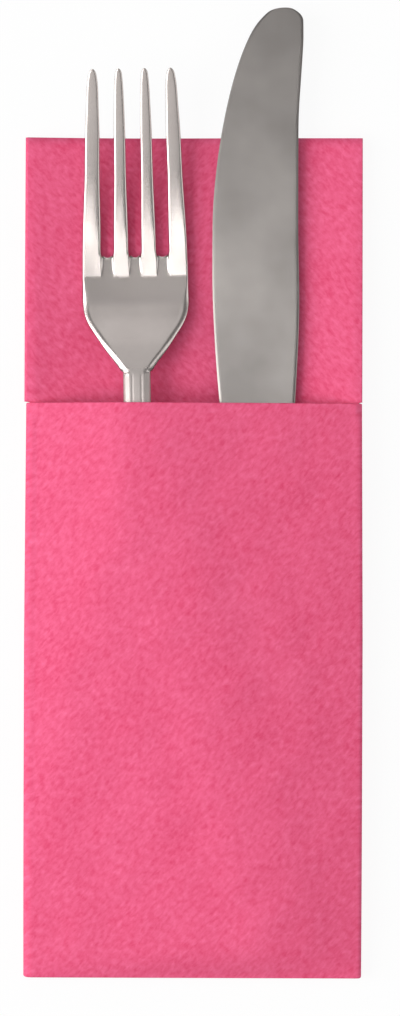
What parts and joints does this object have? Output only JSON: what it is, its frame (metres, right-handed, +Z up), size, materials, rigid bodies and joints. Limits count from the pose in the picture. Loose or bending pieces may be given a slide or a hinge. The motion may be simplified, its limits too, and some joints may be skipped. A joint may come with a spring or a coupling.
{
  "type": "cutlery pouch napkin",
  "caption": "Folded paper napkin with a pocket front, lying flat and holding a table fork and a table knife whose heads stand out of the pocket.",
  "frame": {"origin": "on the table, under the middle of the packet's width and of the whole length", "axes": "+X across the packet, +Y from the closed bottom fold to the knife's tip, +Z up from the table"},
  "size_m": [0.0821, 0.235, 0.0135],
  "materials": {
    "paper": "matt airlaid paper with a fine soft grain",
    "steel": "satin stainless steel"
  },
  "bodies": {
    "root": {"napkin": "paper", "fork": "steel", "knife": "steel"}
  },
  "joints": []
}
